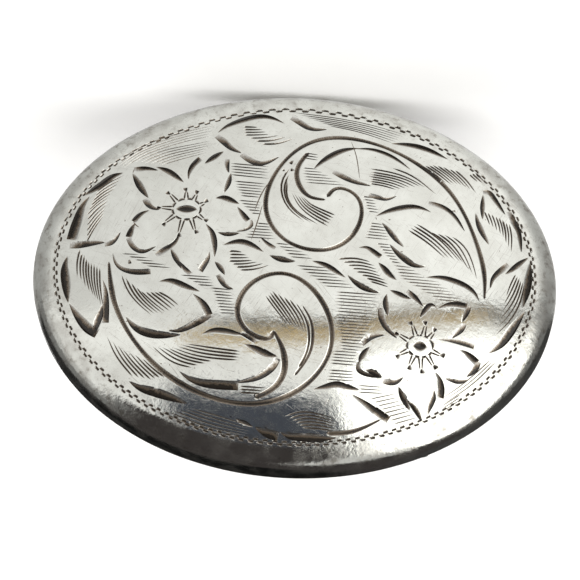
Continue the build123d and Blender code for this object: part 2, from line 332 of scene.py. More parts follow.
# Shading lines are drawn in families: (lines, guide, guide, ...). The lines are spread evenly over the
# guides, and each line starts blunt at its first end.
LEAF_SHADING = [
    (7, [(-6.1, 15.95), (-5.4, 15.95), (-4.7, 15.95)], [(-6.0, 14.95), (-5.0, 15.0), (-3.5, 15.15)],
        [(-4.2, 13.95), (-2.6, 14.1), (-1.05, 14.8)]),
    (2, [(9.1, 12.0), (10.4, 11.6), (11.9, 10.75), (13.4, 9.5)],
        [(6.8, 11.75), (9.0, 11.5), (10.7, 11.0), (12.4, 10.1)]),
    (6, [(6.75, 11.4), (9.0, 11.15), (10.6, 10.75), (11.9, 10.15)], [(6.8, 10.05), (8.2, 9.9), (9.4, 9.6)]),
    (3, [(-1.15, 11.3), (-1.8, 9.9), (-1.85, 8.6), (-1.35, 7.2), (-0.3, 6.0), (0.6, 5.4)],
        [(-1.3, 9.8), (-1.3, 8.2), (-0.75, 7.0), (0.5, 5.9), (2.0, 5.1)]),
    (5, [(3.0, 4.95), (1.0, 6.1), (-0.15, 7.25), (-0.75, 8.4)],
        [(3.7, 6.15), (2.2, 6.75), (1.1, 7.3), (0.4, 8.0)]),
    (8, [(11.9, 12.6), (13.1, 11.9), (14.5, 10.8)], [(13.3, 12.8), (14.6, 11.9), (15.8, 10.85)],
        [(15.3, 12.45), (16.4, 11.5), (17.4, 10.15)]),
    (3, [(16.75, 12.15), (17.6, 11.4)], [(17.4, 12.35), (18.4, 11.4)]),
    (4, [(10.9, 5.15), (12.8, 4.0), (14.6, 2.5)], [(11.6, 5.95), (13.9, 4.5), (16.1, 2.25)]),
    (4, [(13.0, 5.2), (14.4, 4.35), (16.5, 2.1)], [(15.2, 4.9), (16.45, 3.95), (17.3, 2.4), (17.85, 0.5)]),
    (8, [(18.4, 8.0), (18.7, 7.3), (18.95, 6.6)], [(19.7, 7.6), (20.0, 6.8), (20.2, 5.7)],
        [(20.9, 6.9), (21.15, 5.6), (21.15, 3.9)]),
    (6, [(21.7, 1.6), (21.2, 0.4), (20.8, -0.9)], [(22.6, 0.7), (22.2, -1.3), (21.2, -3.4), (19.9, -4.95)]),
    (8, [(4.1, 1.45), (5.8, 1.65), (7.3, 1.4)], [(7.4, -0.65), (8.3, -0.85), (9.2, -1.1)]),
    (7, [(-6.55, 1.7), (-6.0, 1.72), (-5.3, 1.65)], [(-6.6, 0.65), (-5.4, 0.7), (-4.4, 0.8)],
        [(-5.5, -0.25), (-4.0, -0.1), (-2.6, 0.4)]),
    (9, [(-17.0, -1.0), (-16.2, -2.7), (-15.0, -4.1), (-13.7, -5.15)],
        [(-14.9, -2.75), (-13.6, -3.9), (-12.3, -4.85)],
        [(-13.2, -2.8), (-12.2, -3.3), (-11.1, -4.15)]),
    (4, [(-9.4, -10.3), (-10.8, -10.0), (-12.0, -9.4), (-13.3, -8.35)],
        [(-7.4, -9.65), (-10.0, -9.2), (-11.7, -8.5)]),
    (4, [(-4.9, -9.4), (-9.3, -9.05), (-11.35, -8.4)], [(-4.75, -8.55), (-7.5, -8.3), (-10.0, -8.0)]),
    (3, [(-4.6, -11.95), (-2.2, -12.0)], [(-4.6, -12.55), (-2.6, -12.55)]),
    (7, [(-15.0, -11.4), (-16.35, -9.95), (-17.1, -8.9), (-17.75, -7.6)],
        [(-13.2, -11.65), (-15.05, -10.0), (-16.1, -8.8)],
        [(-12.0, -11.3), (-12.9, -10.7), (-14.2, -9.6)]),
    (7, [(-2.65, -2.85), (-1.78, -3.95), (-0.3, -5.7)], [(-2.05, -2.3), (-0.7, -4.0), (0.65, -5.9)],
        [(-0.3, -3.1), (0.4, -4.0), (1.1, -5.1), (1.4, -6.2)]),
    (11, [(-20.75, 2.4), (-20.2, 3.8), (-19.3, 5.4)], [(-21.0, 5.4), (-20.1, 6.5), (-19.0, 7.4)],
        [(-20.3, 8.0), (-19.2, 9.0), (-17.8, 9.85)]),
    (9, [(-21.35, 1.6), (-21.5, 0.3), (-21.35, -1.2)], [(-20.35, 0.3), (-20.2, -1.3), (-19.55, -3.3)],
        [(-19.2, -0.3), (-19.0, -2.2), (-18.5, -4.4)]),
    (6, [(0.0, -14.6), (1.4, -14.1), (3.1, -14.2), (4.9, -14.6)],
        [(1.6, -15.6), (3.2, -15.6), (4.8, -15.75)]),
]
GROUND_SHADING = [
    (5, [(-18.5, 11.5), (-16.9, 12.9), (-14.5, 14.2), (-11.5, 15.3), (-8.8, 16.1)],
        [(-17.7, 10.8), (-16.2, 12.1), (-14.2, 13.1), (-11.8, 14.0), (-9.3, 14.7)]),
    (6, [(-16.6, 11.5), (-14.6, 12.6), (-12.0, 13.4), (-9.3, 14.1)],
        [(-13.9, 11.2), (-12.0, 11.9), (-9.9, 12.6)]),
    (6, [(-1.1, 17.95), (3.0, 17.6), (7.0, 16.95), (10.2, 16.1)],
        [(2.4, 16.6), (5.5, 16.05), (8.8, 15.05)]),
    (5, [(-7.0, 11.5), (-3.4, 11.3)], [(-6.9, 10.2), (-3.5, 9.95)]),
    (6, [(-6.5, 9.45), (-3.7, 9.3)], [(-5.7, 7.85), (-4.0, 7.75)]),
    (5, [(-5.9, 7.3), (-4.0, 7.2)], [(-4.6, 5.95), (-3.8, 5.9)]),
    (6, [(-3.9, 4.85), (-2.9, 4.8)], [(-5.0, 3.3), (-2.4, 3.25)]),
    (5, [(-1.9, 2.75), (-0.9, 2.7)], [(-0.4, 1.4), (1.5, 1.35)]),
    (3, [(0.4, 13.1), (1.4, 13.0)], [(0.4, 12.5), (1.3, 12.4)]),
    (6, [(0.2, 11.35), (1.3, 11.3)], [(0.6, 9.7), (4.2, 9.65)]),
    (6, [(6.3, 8.5), (7.1, 8.45)], [(6.9, 6.9), (7.7, 6.85)]),
    (6, [(7.2, 5.6), (8.2, 5.55)], [(6.7, 4.0), (8.9, 3.95)]),
    (7, [(7.9, 3.4), (9.0, 3.4)], [(9.4, 1.6), (10.0, 1.55)]),
    (4, [(9.8, 1.2), (11.2, 1.15)], [(10.2, 0.2), (12.6, 0.2)]),
    (7, [(10.4, -0.1), (13.9, -0.1)], [(14.0, -1.95), (16.6, -1.95)]),
    (7, [(0.2, 0.5), (2.9, 0.45)], [(3.0, -1.45), (5.7, -1.45)]),
    (8, [(4.2, -2.0), (8.2, -2.0)], [(4.3, -4.3), (7.9, -4.35)]),
    (11, [(4.2, -4.6), (8.0, -4.6)], [(5.0, -7.7), (6.6, -7.75)]),
    (5, [(4.2, -8.0), (6.4, -8.0)], [(4.0, -9.2), (6.3, -9.25)]),
    (4, [(4.0, -9.9), (6.2, -9.9)], [(3.8, -10.8), (6.4, -10.8)]),
    (3, [(6.9, -11.2), (9.0, -11.2)], [(6.9, -11.85), (9.0, -11.8)]),
    (8, [(8.1, -12.4), (10.2, -11.8)], [(10.5, -14.6), (12.4, -13.9)]),
    (5, [(-16.9, 1.15), (-15.6, 1.1)], [(-14.4, -0.1), (-12.3, -0.25)]),
    (4, [(-11.0, -1.0), (-8.5, -1.1)], [(-9.2, -1.95), (-8.0, -2.0)]),
    (9, [(-7.9, -2.25), (-6.2, -2.35)], [(-6.9, -4.75), (-5.7, -4.75)]),
    (6, [(-9.0, -14.3), (-6.5, -14.9), (-3.4, -15.7)], [(-12.0, -14.7), (-8.5, -16.0), (-4.0, -16.8)]),
    (3, [(19.5, -7.5), (17.9, -9.2), (16.3, -10.7), (15.0, -11.7)],
        [(19.95, -7.7), (18.4, -9.5), (16.9, -10.9), (15.2, -12.2)]),
    (3, [(16.6, -11.3), (15.1, -12.4)], [(16.5, -11.9), (15.2, -12.9)]),
]
# A flower's middle: centre, half sizes of the button, half sizes of the ring, and (direction, reach)
# of each stamen.
FLOWER_HEARTS = [
    ((-11.1, 6.15), (1.05, 0.42), (1.35, 1.1), [
        (95, 2.1), (63, 2.0), (24, 2.0), (-32, 2.2), (-67, 2.6), (-102, 2.8), (-143, 2.6), (177, 2.65),
        (137, 2.5),
    ]),
    ((12.55, -6.85), (0.66, 0.5), (1.22, 1.05), [
        (112, 2.3), (78, 2.3), (50, 2.1), (-20, 2.25), (-53, 2.4), (-85, 2.4), (-115, 2.3), (-153, 2.3),
        (155, 2.4),
    ]),
]


# --- Cuts as grooves ---
def unit(vectors):
    """The same directions with length 1."""
    return vectors / np.linalg.norm(vectors, axis=-1, keepdims=True)


def smooth(points, step):
    """Points about one step apart on the natural cubic spline through the given points."""
    p = np.array(points, float) + ORNAMENT_SHIFT
    run = np.linalg.norm(np.diff(p, axis=0), axis=1) ** SPLINE_TENSION
    system = np.eye(len(p))
    target = np.zeros((len(p), 2))
    for k in range(1, len(p) - 1):
        system[k, k - 1:k + 2] = run[k - 1], 2 * (run[k - 1] + run[k]), run[k]
        target[k] = 6 * ((p[k + 1] - p[k]) / run[k] - (p[k] - p[k - 1]) / run[k - 1])
    bend = np.linalg.solve(system, target)
    pieces = []
    for k, span in enumerate(run):
        count = max(1, math.ceil(np.linalg.norm(p[k + 1] - p[k]) / step))
        t = (np.arange(count) / count * span)[:, None]
        start = (p[k + 1] - p[k]) / span - span * (2 * bend[k] + bend[k + 1]) / 6
        pieces.append(p[k] + start * t + bend[k] / 2 * t**2 + (bend[k + 1] - bend[k]) / (6 * span) * t**3)
    return np.vstack(pieces + [p[-1:]])


def along(line):
    """Share of the line's length at each of its points, and the whole length."""
    steps = np.linalg.norm(np.diff(line, axis=0), axis=1)
    run = np.concatenate([[0.0], np.cumsum(steps)])
    return run / run[-1], run[-1]


def point_at(line, t, at):
    """The points at the given shares of the line's length."""
    return np.array([np.interp(at, t, line[:, k]) for k in (0, 1)]).T


def left_of(line):
    """Unit vectors to the left of the line's direction."""
    d = unit(np.gradient(line, axis=0))
    return np.column_stack([-d[:, 1], d[:, 0]])


def bell(t, peak, fullness=0.75):
    """Rises from 0 to 1 at peak and falls back to 0."""
    up = np.clip(t / peak, 0, 1)
    down = np.clip((1 - t) / (1 - peak), 0, 1)
    return np.sin(np.minimum(up, down) * math.pi / 2) ** fullness


def ends(t, length, run):
    """1 along the line, falling to 0 over the given run at both ends."""
    return np.clip(np.minimum(t, 1 - t) * length / run, 0, 1)


def shape_profile(shape, t, length):
    """Share of full width, share of full depth, and darkness along a cut of the given shape."""
    if shape == "sickle":
        wide = bell(t, 0.5)
        return wide, wide, 0.25 + 0.75 * np.clip(wide * 1.3, 0, 1)
    if shape == "flare":
        wide = np.cos(t * math.pi / 2) ** 0.6 * np.clip(0.75 + t, 0, 1)
        deep = ends(t, length, SQUARE_END) * np.minimum(wide, 0.35 + 1.2 * t)
        return wide, deep, np.clip(0.22 + 1.9 * t, 0, 1)
    if shape == "chop":
        wide = np.sin(np.clip(t * 1.25, 0, 1) * math.pi / 2) ** 0.75
        dark = np.clip(0.4 + t, 0, 1) * np.clip(4.4 - 4 * t, 0.45, 1)
        return wide, wide * ends(t, length, SQUARE_END), dark
    if shape == "thread":
        wide = bell(t, 0.5, 0.4)
        return wide, wide, 0.55 * wide
    if shape == "vein":
        wide = np.clip(1.1 - 0.5 * t, 0, 1) * ends(t, length, 0.08)
        return wide, wide, 0.95 * wide
    wide = 0.45 + 0.55 * np.clip(t * length / 3.0, 0, 1)
    wide *= ends(t, length, 0.12) * (0.92 + 0.12 * np.sin(t * length * 0.55))
    return wide, wide, 0.73 + 0.10 * np.sin(t * length * 0.9)


def groove(line, left, right, depth, tone, shoulder, spread=1.0):
    """A cut ready for the mesh: its deepest line, side vectors, two half widths, depth and darkness."""
    return {
        "line": line, "side": left_of(line), "left": left, "right": right,
        "depth": depth, "tone": tone, "shoulder": shoulder, "spread": spread,
    }


def carve(shape, width, points, step=CUT_STEP, boldness=LEAF_BOLDNESS):
    """One cut of the ornament as a groove."""
    line = smooth(points, step)
    t, length = along(line)
    wide, deep, tone = shape_profile(shape, t, length)
    if shape in ("line", "thread", "vein"):
        half = abs(width) / 2 * wide
        depth = LINE_DEPTH_PER_HALF * abs(width) / 2 * deep
        return groove(line, half, half, depth, tone, shape == "line", LINE_SPREAD)
    broad = boldness * abs(width)
    steep = STEEP_SHARE * broad * wide
    slope = (1 - STEEP_SHARE) * broad * wide
    depth = DEPTH_PER_STEEP * STEEP_SHARE * broad * deep
    left, right = (slope, steep) if width > 0 else (steep, slope)
    return groove(line, left, right, depth, tone, True, CUT_SPREAD)


def resample(points, count):
    """The given number of points, evenly spaced along the spline."""
    line = smooth(points, 0.2)
    return point_at(line, along(line)[0], np.linspace(0, 1, count))


def shade(count, guides, width, tone, longer=0.0):
    """A family of fine parallel cuts, spread evenly over its guides."""
    guides = [resample(guide, SHADE_POINTS) for guide in guides]
    family = []
    for k in range(count):
        place = k / (count - 1) * (len(guides) - 1)
        before = min(int(place), len(guides) - 2)
        share = place - before
        line = guides[before] * (1 - share) + guides[before + 1] * share
        run = unit(line[-1] - line[0])
        line[0] += run * (rng.uniform(-0.10, 0.10) - longer)
        line[-1] += run * (rng.uniform(-0.05, 0.25) + longer)
        t, _ = along(line)
        wide = bell(t, BLUNT_END, 0.45) * width / 2 * rng.uniform(0.85, 1.15)
        depth = wide * SHADE_DEPTH_PER_HALF
        family.append(groove(line, wide, wide, depth, tone * bell(t, BLUNT_END, 0.4), False))
    return family


def on_oval(center, half_sizes, degrees):
    """The point in the given direction on an oval round a centre."""
    a = math.radians(degrees)
    return np.array(center) + np.array(half_sizes) * (math.cos(a), math.sin(a))


def stamen(center, ring, degrees, reach):
    """Two thin lines that close in on a square dot."""
    foot = on_oval(center, ring, degrees)
    tip = on_oval(center, (reach, reach), degrees)
    d = unit(tip - foot)
    n = np.array([-d[1], d[0]])
    cuts = [carve("chop", 0.3, [tip - d * 0.14, tip + d * 0.32], SHORT_STEP)]
    for side in (-1, 1):
        cuts.append(carve("vein", 0.2, [foot + n * side * 0.19, tip - d * 0.05 + n * side * 0.10]))
    return cuts


def flower_heart(center, button, ring, stamens):
    """The flower's dark button, the short cuts that ring it from stamen to stamen, and the stamens."""
    length, height = button
    across = [on_oval(center, (length, 0.0), degrees) for degrees in (180, 120, 60, 0)]
    cuts = [carve("sickle", side * 0.9 * height, across, SHORT_STEP) for side in (-1, 1)]
    angles = [degrees for degrees, reach in stamens]
    for first, second in zip(angles, angles[1:] + angles[:1]):
        gap = (first - second) % 360
        feet = [on_oval(center, ring, first - gap * share) for share in (0.08, 0.5, 0.92)]
        cuts.append(carve("sickle", 0.2, feet, SHORT_STEP))
    for degrees, reach in stamens:
        cuts += stamen(center, ring, degrees, reach)
    return cuts


def wriggle_border():
    """The border line: a graver walked round the oval, which leaves two rows of short staggered cuts."""
    angle = np.linspace(0, 2 * math.pi, BORDER_SAMPLES)
    strayed = 1 - STRAY * np.exp(-((angle - STRAY_MIDDLE) / STRAY_REACH) ** 2)
    oval = np.column_stack([LINE_U * np.cos(angle) * strayed, LINE_V * np.sin(angle) * strayed])
    t, length = along(oval)
    cuts = []
    run = 0.0
    while run < length - LAST_PACE:
        height = np.interp(run / length, t, oval[:, 1]) / LINE_V
        pace = PACE + PACE_EXTRA * max(0.0, height) ** 6
        for walk in (OUTER_STEP, INNER_STEP):
            row = []
            for ahead, offset in walk:
                on = point_at(oval, t, (run + ahead * pace) / length % 1.0)
                row.append(on + unit(on / (LINE_U**2, LINE_V**2)) * offset)
            wide = STEP_WIDTH * rng.uniform(0.85, 1.15)
            cuts.append(groove(np.array(row), wide, wide, STEP_DEPTH, STEP_TONE, False))
        run += pace * rng.uniform(0.94, 1.06)
    return cuts


def all_cuts():
    """Every cut of the face. The order fixes the random draws."""
    cuts = []
    for group in (FLOWER_LEFT, FLOWER_RIGHT):
        cuts += [carve(*entry, boldness=PETAL_BOLDNESS) for entry in group]
    for group in (SCROLL_TOP, SCROLL_BOTTOM, LEAVES_TOP, LEAVES_BOTTOM):
        cuts += [carve(*entry) for entry in group]
    cuts += [carve(*entry, step=SHORT_STEP) for entry in SPECKS]
    for heart in FLOWER_HEARTS:
        cuts += flower_heart(*heart)
    for count, *guides in LEAF_SHADING:
        cuts += shade(count, guides, LEAF_SHADE_WIDTH, LEAF_SHADE_TONE)
    for count, *guides in GROUND_SHADING:
        cuts += shade(count, guides, GROUND_SHADE_WIDTH, GROUND_SHADE_TONE, GROUND_SHADE_LONGER)
    return cuts + wriggle_border()


def points_near(points, order, sorted_u, g):
    """Indices of the points in the cut's own box, shoulders included."""
    reach = max(g["left"].max(), g["right"].max()) + SHOULDER
    low, high = g["line"].min(0) - reach, g["line"].max(0) + reach
    near = order[np.searchsorted(sorted_u, low[0]):np.searchsorted(sorted_u, high[0])]
    return near[(points[near, 1] > low[1]) & (points[near, 1] < high[1])]


def read_cut(p, g):
    """Depth and darkness of one cut at each point, and the lean of its shoulders there."""
    a, b = g["line"][:-1], g["line"][1:]
    ab = b - a
    t = ((p[:, None] - a[None]) * ab[None]).sum(2) / (ab**2).sum(1)
    inside = (t >= -1e-6) & (t <= 1 + 1e-6)
    t = np.clip(t, 0, 1)
    foot = a[None] + t[:, :, None] * ab[None]
    side = g["side"][:-1][None] * (1 - t[:, :, None]) + g["side"][1:][None] * t[:, :, None]
    offset = ((p[:, None] - foot) * side).sum(2)
    gap = np.where(inside, np.abs(offset), np.linalg.norm(p[:, None] - foot, axis=2) + FAR_AWAY)
    nearest = (np.arange(len(p)), np.argmin(gap, axis=1))

    def value(name):
        return (g[name][:-1][None] * (1 - t) + g[name][1:][None] * t)[nearest]

    left, right, depth = value("left"), value("right"), value("depth")
    inside, side, offset = inside[nearest], side[nearest], offset[nearest]
    half = np.where(offset > 0, left, right) + 1e-9
    share = np.where(inside, 1 - np.abs(offset) / half, -FAR_AWAY)
    steep = np.where(offset > 0, left < right, right < left)
    # Painted shade and oxide: a steep side is dark over its whole width, a gentle slope darkens towards the
    # bottom.
    dark = np.where(steep, share > -0.02, np.clip(share * g["spread"], 0, 1)) * value("tone")
    found = np.where(share > 1e-4, share * depth, 0.0)
    if not g["shoulder"]:
        return found, dark, None
    # A shoulder leans towards its cut, but not past the ends or where a pointed tip has no width.
    beyond = np.abs(offset) - half
    fade = np.clip(1 - beyond / SHOULDER, 0, 1) * (share > -0.1 * FAR_AWAY) * (beyond > -1e-3)
    fade *= np.clip(depth / FULL_SHOULDER_DEPTH, 0, 1)
    return found, dark, fade[:, None] * -np.sign(offset)[:, None] * side


def cut_field(points, cuts):
    """Depth, darkness and the sideways lean of the surface at each point, from the deepest cut there."""
    depth = np.zeros(len(points))
    tone = np.zeros(len(points))
    lean = np.zeros((len(points), 2))
    order = np.argsort(points[:, 0])
    sorted_u = points[order, 0]
    for g in cuts:
        near = points_near(points, order, sorted_u, g)
        if not len(near):
            continue
        found, dark, leaning = read_cut(points[near], g)
        depth[near] = np.maximum(depth[near], found)
        tone[near] = np.maximum(tone[near], dark)
        if leaning is not None:
            stronger = np.linalg.norm(leaning, axis=1) > np.linalg.norm(lean[near], axis=1)
            lean[near[stronger]] = leaning[stronger]
    return depth, tone, lean


# --- The dome and its rolled edge ---
def dome_height(u, v, drop=0.0):
    """Height of the dome, or of a dome that lies the given drop below it."""
    inside = 1 - (u / (STRETCH * DOME_RADIUS)) ** 2 - (v / DOME_RADIUS) ** 2
    return APEX - drop - DOME_RADIUS + DOME_RADIUS * np.sqrt(inside)


def dome_normal(u, v):
    """Outward unit vectors on the dome."""
    n = np.column_stack([u / (STRETCH**2 * DOME_RADIUS), v / DOME_RADIUS, np.zeros_like(u)])
    n[:, 2] = np.sqrt(1 - n[:, 0] ** 2 - n[:, 1] ** 2)
    return n


def outline(angle):
    """Points on the outline and the outward direction there."""
    edge = np.column_stack([HALF_LENGTH * np.cos(angle), HALF_HEIGHT * np.sin(angle)])
    return edge, unit(edge / (HALF_LENGTH**2, HALF_HEIGHT**2))


def roll_center(edge, out, depth):
    """Height of the rolled edge's centre line, and the angle at which it meets the dome."""
    roll = EDGE_ROLL - depth
    slope = np.full(len(edge), math.radians(11))
    for _ in range(6):
        u, v = (edge - out * (EDGE_ROLL - roll * np.sin(slope))[:, None]).T
        slope = np.arcsin((dome_normal(u, v)[:, :2] * out).sum(1))
    height = dome_height(u, v, depth) - roll * np.cos(slope)
    return height, math.pi / 2 - slope


def roll_point(edge, out, height, turn, depth):
    """Points and normals on the rolled edge, turned up from its upright wall by the given angle."""
    roll = EDGE_ROLL - depth
    flat = edge - out * (EDGE_ROLL - roll * np.cos(turn))[:, None]
    p = np.column_stack([flat, height + roll * np.sin(turn)])
    n = np.column_stack([out * np.cos(turn)[:, None], np.sin(turn)])
    return p, n


def outline_place(points):
    """Nearest outline point and outward direction for points near the rim, by Newton's method."""
    a, b = HALF_LENGTH, HALF_HEIGHT
    u, v = points.T
    t = np.arctan2(v / b, u / a)
    for _ in range(8):
        c, s = np.cos(t), np.sin(t)
        f = (a * c - u) * -a * s + (b * s - v) * b * c
        df = a * a * s * s - (a * c - u) * a * c + b * b * c * c - (b * s - v) * b * s
        t = t - f / df
    return outline(t)


def face_surface(points):
    """Height and normal of the uncut face, dome or rolled edge, at each point."""
    u, v = points.T
    height, normal = dome_height(u, v), dome_normal(u, v)
    near = np.nonzero((u / HALF_LENGTH) ** 2 + (v / HALF_HEIGHT) ** 2 > NEAR_ROLL)[0]
    edge, out = outline_place(points[near])
    inset = ((edge - points[near]) * out).sum(1)
    center, meet = roll_center(edge, out, 0.0)
    turn = np.arccos(np.clip(1 - inset / EDGE_ROLL, -1, 1))
    rolled = turn < meet
    p, n = roll_point(edge, out, center, turn, 0.0)
    height[near[rolled]] = p[rolled, 2]
    normal[near[rolled]] = n[rolled]
    return height, normal


# --- The face mesh ---
def shoulder_outline(g):
    """Closed line round a cut and its rubbed shoulders, through every second point of the cut."""
    ahead = unit(np.gradient(g["line"], axis=0))
    left = g["line"] + g["side"] * (g["left"] + SHOULDER)[:, None]
    right = g["line"] - g["side"] * (g["right"] + SHOULDER)[:, None]
    for line in (left, right):
        line[0] -= ahead[0] * SHOULDER
        line[-1] += ahead[-1] * SHOULDER
    return np.vstack([left[::2], left[-1:], right[-1:], right[::-1][::2], right[:1]])


def fill_points():
    """Staggered rows of points over the whole face, for even triangles between the cuts."""
    points = []
    for row in range(-FILL_ROWS, FILL_ROWS + 1):
        for column in range(-FILL_ROWS, FILL_ROWS + 1):
            u = (column + 0.5 * (row % 2)) * FILL_STEP
            v = row * FILL_STEP * FILL_ROW_SHARE
            if (u / (HALF_LENGTH - FILL_INSET)) ** 2 + (v / (HALF_HEIGHT - FILL_INSET)) ** 2 < 1:
                points.append((u, v))
    return points


def plan_of_face(cuts, boundary, rings):
    """Triangles of the face in plan, with every cut's edges and deepest line as mesh edges."""
    points = [tuple(p) for p in boundary]
    edges = [(k, (k + 1) % len(boundary)) for k in range(len(boundary))]

    def chain(line, closed=False):
        start = len(points)
        points.extend(map(tuple, line))
        edges.extend((start + k, start + k + 1) for k in range(len(line) - 1))
        if closed:
            edges.append((start + len(line) - 1, start))

    for ring in rings:
        chain(ring, closed=True)
    for g in cuts:
        left = g["line"] + g["side"] * g["left"][:, None]
        right = g["line"] - g["side"] * g["right"][:, None]
        chain(g["line"])
        chain(np.vstack([left, right[::-1]]), closed=True)
        if g["shoulder"]:
            chain(shoulder_outline(g), closed=True)
    points += fill_points()
    found = delaunay_2d_cdt([Vector(p) for p in points], edges, [], 1, 1e-4, False)
    return np.array([(p.x, p.y) for p in found[0]]), np.array(found[2], int)


def plan_limits(edge, out):
    """The plan's boundary on the rolled edge, and rings that keep its mesh even up to the dome."""
    center, meet = roll_center(edge, out, 0.0)
    boundary, _ = roll_point(edge, out, center, np.full(RIM_STEPS, PLAN_EDGE_ANGLE), 0.0)
    turns = [PLAN_EDGE_ANGLE + (meet - PLAN_EDGE_ANGLE) * share for share in PLAN_RINGS]
    rings = [roll_point(edge, out, center, turn, 0.0)[0][:, :2] for turn in turns]
    return boundary[:, :2], rings + [rings[-1] - out * DOME_RING_GAP]


def rolled_rows(edge, out):
    """Rows of (points, normals) from the plan's boundary down to the upright wall."""
    center, _ = roll_center(edge, out, 0.0)
    turns = [PLAN_EDGE_ANGLE * (1 - row / ROLL_ROWS) for row in range(1, ROLL_ROWS + 1)]
    return [roll_point(edge, out, center, np.full(RIM_STEPS, turn), 0.0) for turn in turns]


def rim_rows(edge, out):
    """Rows down the wall, round its arris and across the rim."""
    outward = np.column_stack([out, np.zeros(RIM_STEPS)])
    down = np.tile([0.0, 0.0, -1.0], (RIM_STEPS, 1))
    flared = outward * math.cos(RIM_FLARE) + down * math.sin(RIM_FLARE)
    places = [(0, WALL_FOOT, outward), (0, ARRIS, flared), (ARRIS, 0, down), (SHEET, 0, down)]
    rows = []
    for inset, height, n in places:
        rows.append((np.column_stack([edge - out * inset, np.full(RIM_STEPS, height)]), n))
    return rows


def inside_rows(edge, out):
    """Rows up the inside of the rolled edge and in towards the middle of the dome."""
    center, meet = roll_center(edge, out, SHEET)
    rows = []
    for row in range(INSIDE_ROLL_ROWS + 1):
        p, n = roll_point(edge, out, center, meet * row / INSIDE_ROLL_ROWS, SHEET)
        rows.append((p, -n))
    dome_edge = p[:, :2]
    for share in INSIDE_RINGS:
        u, v = (dome_edge * share).T
        rows.append((np.column_stack([u, v, dome_height(u, v, SHEET)]), -dome_normal(u, v)))
    return rows


def close_sheet(top, normals, triangles, rows):
    """The plan's mesh, carried on from its boundary through the rows to the middle of the inside."""
    vertices = np.vstack([top] + [p for p, _ in rows] + [[(0.0, 0.0, APEX - SHEET)]])
    normals = np.vstack([normals] + [n for _, n in rows] + [[(0.0, 0.0, -1.0)]])
    starts = [0] + [len(top) + k * RIM_STEPS for k in range(len(rows))]
    middle = len(vertices) - 1
    faces = [tuple(t) for t in triangles]
    steps = [(k, (k + 1) % RIM_STEPS) for k in range(RIM_STEPS)]
    for first, second in zip(starts[:-1], starts[1:]):
        faces += [(second + k, second + after, first + after, first + k) for k, after in steps]
    faces += [(starts[-1] + k, starts[-1] + after, middle) for k, after in steps]
    return vertices, normals, faces


def cut_normals(top, triangles, smooth_normals, depth, in_cut, centroids):
    """Normals at the triangles' corners: flat inside cuts, except along the edge of a gentle slope."""
    corners = top[triangles]
    flat = np.cross(corners[:, 1] - corners[:, 0], corners[:, 2] - corners[:, 0])
    flat /= np.linalg.norm(flat, axis=1)[:, None] + 1e-12
    flat *= np.sign(flat[:, 2:3] + 1e-12)
    slope = np.arccos(np.clip((flat * face_surface(centroids)[1]).sum(1), -1, 1))
    rounded = (depth[triangles] < 1e-5) & (slope < GENTLE_SLOPE)[:, None]
    faceted = in_cut[:, None] & ~rounded
    return np.where(faceted[:, :, None], flat[:, None, :], smooth_normals[triangles])


def cut_tones(plan, triangles, in_cut, centroids, cuts):
    """Darkness at the triangles' corners, and 0 outside the cuts."""
    pulled = plan[triangles[in_cut]] * (1 - CORNER_PULL) + centroids[in_cut][:, None] * CORNER_PULL
    _, found, _ = cut_field(pulled.reshape(-1, 2), cuts)
    tones = np.zeros(triangles.shape)
    tones[in_cut] = found.reshape(-1, 3)
    return tones


def worn(points):
    """From the face's own axes to the worn position, in metres."""
    points = np.asarray(points)
    return np.column_stack([-points[:, 0], -points[:, 2], -points[:, 1]]) * MM


def new_object(name, data):
    """An object in the scene."""
    piece = bpy.data.objects.new(name, data)
    bpy.context.scene.collection.objects.link(piece)
    return piece


def engraved_face():
    """The face plate as one closed sheet, with its cuts in a material slot and a darkness of their own."""
    cuts = all_cuts()
    edge, out = outline(np.arange(RIM_STEPS) / RIM_STEPS * 2 * math.pi)
    plan, triangles = plan_of_face(cuts, *plan_limits(edge, out))
    depth, _, lean = cut_field(plan, cuts)
    height, normal = face_surface(plan)
    top = np.column_stack([plan, height]) - normal * depth[:, None]
    leaning = unit(normal + np.column_stack([lean * SHOULDER_TILT, np.zeros(len(lean))]))
    rows = rolled_rows(edge, out) + rim_rows(edge, out) + inside_rows(edge, out)
    vertices, normals, faces = close_sheet(top, leaning, triangles, rows)
    mesh = bpy.data.meshes.new("engraved_face")
    mesh.from_pydata(worn(vertices).tolist(), [], faces)
    mesh.update()

    centroids = plan[triangles].mean(axis=1)
    in_cut = cut_field(centroids, cuts)[0] > 1e-4
    material = np.zeros(len(mesh.polygons), int)
    material[:len(triangles)] = in_cut
    mesh.polygons.foreach_set("material_index", material)
    mesh.polygons.foreach_set("use_smooth", np.ones(len(mesh.polygons), bool))
    loop_vertices = np.zeros(len(mesh.loops), int)
    mesh.loops.foreach_get("vertex_index", loop_vertices)
    loop_normals = normals[loop_vertices]
    corner_normals = cut_normals(top, triangles, leaning, depth, in_cut, centroids)
    loop_normals[:triangles.size] = corner_normals.reshape(-1, 3)
    mesh.normals_split_custom_set((worn(loop_normals) / MM).tolist())
    loop_tones = np.zeros(len(mesh.loops))
    loop_tones[:triangles.size] = cut_tones(plan, triangles, in_cut, centroids, cuts).ravel()
    mesh.attributes.new("tone", "FLOAT", "CORNER").data.foreach_set("value", loop_tones)
    mesh.validate(verbose=False)
    return new_object("engraved_face", mesh)


# --- Materials ---
def feed(tree, n, inputs):
    """Feed each named input of a node from a socket or a value."""
    for name, value in inputs.items():
        if isinstance(value, bpy.types.NodeSocket):
            tree.links.new(value, n.inputs[name])
        else:
            n.inputs[name].default_value = value


def node(tree, kind, inputs=None, **settings):
    """Add a shader node with the given properties and inputs."""
    n = tree.nodes.new("ShaderNode" + kind)
    for name, value in settings.items():
        setattr(n, name, value)
    feed(tree, n, inputs or {})
    return n


